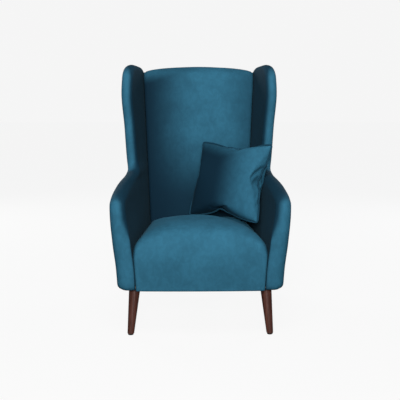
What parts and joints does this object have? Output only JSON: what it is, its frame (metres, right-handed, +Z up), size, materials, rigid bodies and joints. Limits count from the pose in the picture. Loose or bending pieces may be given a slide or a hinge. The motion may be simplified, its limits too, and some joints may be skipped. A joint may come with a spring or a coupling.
{
  "type": "upholstered wing armchair",
  "caption": "Velvet wing armchair with tight crowned seat, sloping arms that flow into the wings, turned splayed wooden legs and a loose piped scatter cushion.",
  "frame": {"origin": "on the floor, below the middle of the chair's bounding box", "axes": "+Z up, the chair faces -Y, +X towards the right-hand arm as seen from the front"},
  "size_m": [0.692, 0.7708, 1.066],
  "materials": {
    "velvet": "teal velvet with a short nap",
    "cushion_velvet": "teal velvet with a short nap",
    "foam": "upholstery foam",
    "frame_wood": "planed hardwood",
    "leg_wood": "dark reddish-brown satin lacquer",
    "spring_steel": "drawn wire",
    "zinc_steel": "zinc plated",
    "felt": "needled felt",
    "webbing": "woven elastic webbing",
    "backing_board": "hard backing board",
    "dust_cloth": "black non-woven cloth",
    "nylon": "moulded nylon"
  },
  "bodies": {
    "chair": {"arm_rail_left": "frame_wood", "arm_rail_right": "frame_wood", "back_bolts": "zinc_steel", "back_foam": "foam", "back_lumbar_rail": "frame_wood", "back_post_left": "frame_wood", "back_post_right": "frame_wood", "back_seat_rail": "frame_wood", "back_stile_left": "frame_wood", "back_stile_right": "frame_wood", "back_tack_rail": "frame_wood", "back_top_rail": "frame_wood", "back_webbing": "webbing", "corner_block_screws": "zinc_steel", "corner_blocks": "frame_wood", "dust_cover": "dust_cloth", "dust_cover_staples": "zinc_steel", "foot_glides": "nylon", "frame_screws": "zinc_steel", "front_leg_left": "leg_wood", "front_leg_right": "leg_wood", "front_post_left": "frame_wood", "front_post_right": "frame_wood", "front_seat_rail": "frame_wood", "glide_nails": "zinc_steel", "inside_back_cover": "velvet", "inside_cover_left": "velvet", "inside_cover_right": "velvet", "leg_bolts": "zinc_steel", "leg_tee_nuts": "zinc_steel", "outside_back_board": "backing_board", "outside_back_cover": "velvet", "outside_cover_left": "velvet", "outside_cover_right": "velvet", "rear_leg_left": "leg_wood", "rear_leg_right": "leg_wood", "seat_cover": "velvet", "seat_foam": "foam", "seat_springs": "spring_steel", "side_foam_left": "foam", "side_foam_right": "foam", "side_seat_rail_left": "frame_wood", "side_seat_rail_right": "frame_wood", "spring_clips": "zinc_steel", "spring_felt": "felt", "spring_tie_wires": "spring_steel", "wing_rail_left": "frame_wood", "wing_rail_right": "frame_wood", "wing_stile_left": "frame_wood", "wing_stile_right": "frame_wood"},
    "scatter_cushion": {"cushion_cover_back": "cushion_velvet", "cushion_cover_front": "cushion_velvet", "cushion_pad": "foam", "cushion_piping": "cushion_velvet"}
  },
  "joints": [
    {"name": "cushion_lift", "type": "slide", "parent": "chair", "child": "scatter_cushion", "axis": [0, 0, 1], "range_m": [0, 0.35]}
  ]
}
